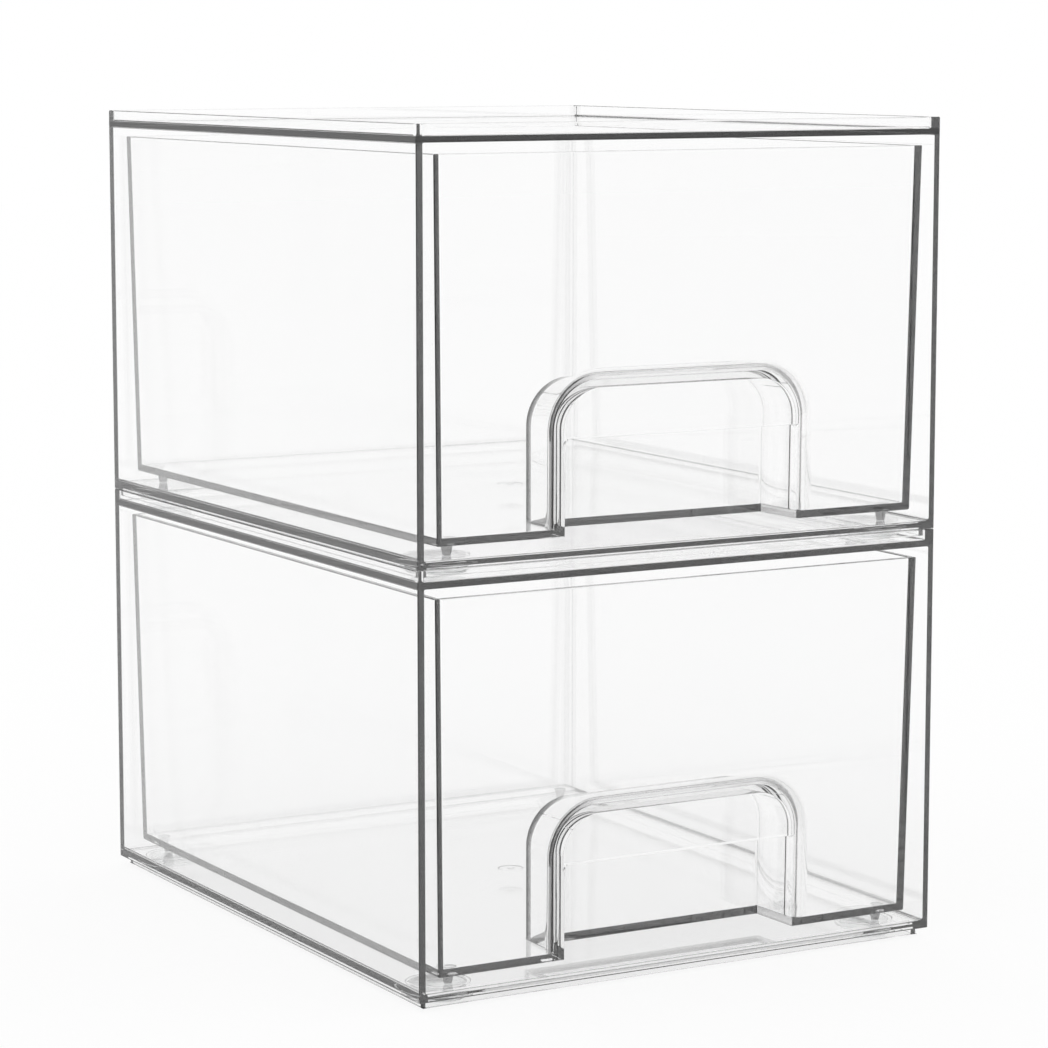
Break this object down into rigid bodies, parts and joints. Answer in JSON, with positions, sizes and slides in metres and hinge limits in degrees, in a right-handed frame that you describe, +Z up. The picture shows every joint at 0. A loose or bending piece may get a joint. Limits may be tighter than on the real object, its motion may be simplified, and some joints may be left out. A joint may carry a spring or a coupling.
{
  "type": "stackable drawer box",
  "caption": "Clear stackable storage unit: open-front cases that nest by rim and plinth, each with a sliding drawer that has a recessed arched finger pull.",
  "frame": {"origin": "middle of the stack's footprint, level with the underside of the lowest pads", "axes": "+Z up, -Y out of the front, the way the drawers open, +X to the right of someone facing the front"},
  "size_m": [0.236, 0.284, 0.3338],
  "materials": {
    "clear_polystyrene": "polished",
    "clear_silicone": "satin"
  },
  "bodies": {
    "lower_case": {"lower_case": "clear_polystyrene", "lower_pad_front_left": "clear_silicone", "lower_pad_front_right": "clear_silicone", "lower_pad_rear_left": "clear_silicone", "lower_pad_rear_right": "clear_silicone"},
    "lower_drawer": {"lower_drawer": "clear_polystyrene"},
    "upper_case": {"upper_case": "clear_polystyrene", "upper_pad_front_left": "clear_silicone", "upper_pad_front_right": "clear_silicone", "upper_pad_rear_left": "clear_silicone", "upper_pad_rear_right": "clear_silicone"},
    "upper_drawer": {"upper_drawer": "clear_polystyrene"}
  },
  "joints": [
    {"name": "lower_drawer_slide", "type": "slide", "parent": "lower_case", "child": "lower_drawer", "axis": [0, -1, 0], "range_m": [0, 0.22]},
    {"name": "upper_unit_lift", "type": "slide", "parent": "lower_case", "child": "upper_case", "axis": [0, 0, 1], "range_m": [0, 0.05]},
    {"name": "upper_drawer_slide", "type": "slide", "parent": "upper_case", "child": "upper_drawer", "axis": [0, -1, 0], "range_m": [0, 0.22]}
  ]
}
